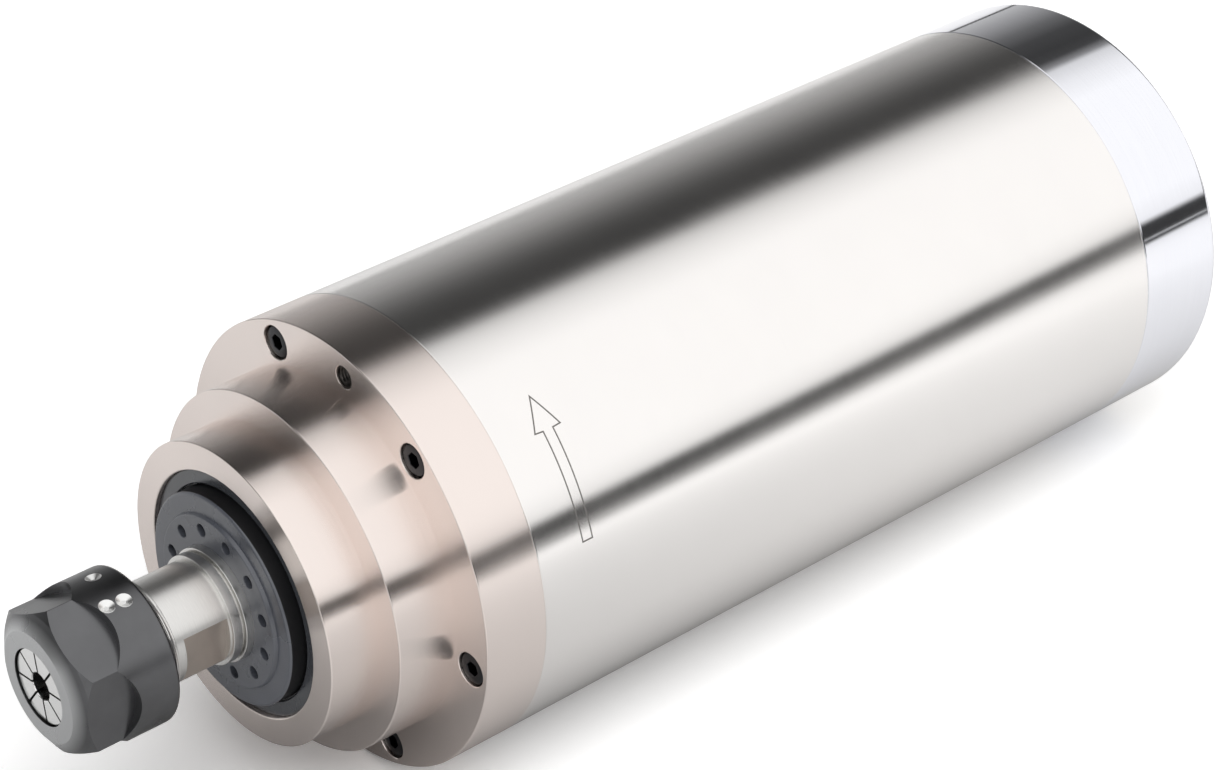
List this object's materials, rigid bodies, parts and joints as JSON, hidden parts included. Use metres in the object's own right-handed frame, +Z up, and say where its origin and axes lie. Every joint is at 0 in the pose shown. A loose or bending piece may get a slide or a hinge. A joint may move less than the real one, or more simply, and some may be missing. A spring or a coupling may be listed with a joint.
{
  "type": "motor spindle",
  "caption": "Round water-cooled motor spindle with a stepped nose, spring collet and hexagon collet nut, water nipples and a round connector at the rear.",
  "frame": {"origin": "on the spindle axis, in the front face of the flange", "axes": "+X along the axis from the nose to the rear, +Z up with the spindle lying level"},
  "size_m": [0.3054, 0.1, 0.1],
  "materials": {
    "brushed_stainless": "brushed round the body",
    "nickel_flange": "fine turned nickel plate",
    "bright_zinc": "bright zinc plate",
    "dark_nut": "dark phosphate, satin",
    "black_oxide": "black oxide, satin",
    "ground_steel": "ground and polished",
    "black_screws": "black oxide",
    "bearing_steel": "ground",
    "jacket_aluminium": "machined",
    "laminations": "stacked sheet steel",
    "copper_windings": "varnished copper",
    "lead_sleeve": "woven sleeve",
    "seal_rubber": "smooth",
    "nipple_brass": "machined",
    "connector_chrome": "satin chrome",
    "connector_plastic": "moulded",
    "cage_resin": "resin cloth"
  },
  "bodies": {
    "housing": {"stainless_shell": "brushed_stainless", "water_jacket": "jacket_aluminium", "jacket_o_ring_front": "seal_rubber", "jacket_o_ring_rear": "seal_rubber", "front_flange": "nickel_flange", "flange_screws": "black_screws", "front_retaining_ring": "black_oxide", "front_bearing_outer_rings": "bearing_steel", "front_outer_spacer": "bearing_steel", "stator_core": "laminations", "stator_windings": "copper_windings", "motor_leads": "lead_sleeve", "rear_bearing_plate": "jacket_aluminium", "rear_plate_screws": "black_screws", "rear_bearing_sleeve": "bearing_steel", "preload_disc_spring": "bearing_steel", "rear_bearing_outer_rings": "bearing_steel", "rear_cap": "bright_zinc", "rear_cap_screws": "black_screws", "rear_cap_o_ring": "seal_rubber", "water_inlet_nipple": "nipple_brass", "water_outlet_nipple": "nipple_brass", "connector_shell": "connector_chrome", "connector_nut": "connector_chrome", "connector_insert": "connector_plastic", "connector_pins": "nipple_brass"},
    "spindle": {"spindle_shaft": "ground_steel", "slinger_disc": "black_oxide", "front_bearing_inner_rings": "bearing_steel", "front_inner_spacer": "bearing_steel", "rotor_core": "laminations", "rotor_cage": "jacket_aluminium", "rear_bearing_inner_rings": "bearing_steel", "rear_lock_nut": "black_oxide"},
    "front_ball_set": {"front_bearing_balls": "bearing_steel", "front_bearing_cages": "cage_resin"},
    "rear_ball_set": {"rear_bearing_balls": "bearing_steel", "rear_bearing_cages": "cage_resin"},
    "collet": {"spring_collet": "ground_steel"},
    "nut": {"collet_nut": "dark_nut"}
  },
  "joints": [
    {"name": "spindle_spin", "type": "hinge", "parent": "housing", "child": "spindle", "pos_m": [0, 0, 0], "axis": [-1, 0, 0], "continuous": true},
    {"name": "front_balls_spin", "type": "hinge", "parent": "housing", "child": "front_ball_set", "pos_m": [0, 0, 0], "axis": [-1, 0, 0], "continuous": true},
    {"name": "rear_balls_spin", "type": "hinge", "parent": "housing", "child": "rear_ball_set", "pos_m": [0.177, 0, 0], "axis": [-1, 0, 0], "continuous": true},
    {"name": "collet_slide", "type": "slide", "parent": "spindle", "child": "collet", "axis": [-1, 0, 0], "range_m": [0, 0.0075]},
    {"name": "nut_turn", "type": "hinge", "parent": "collet", "child": "nut", "pos_m": [-0.06, 0, 0], "axis": [-1, 0, 0], "range_deg": [0, 1800]}
  ],
  "couplings": [
    {"joint": "front_balls_spin", "follows": "spindle_spin", "ratio": 0.41481},
    {"joint": "rear_balls_spin", "follows": "spindle_spin", "ratio": 0.40217},
    {"joint": "nut_turn", "follows": "collet_slide", "rad_per_m": 4188.8}
  ]
}
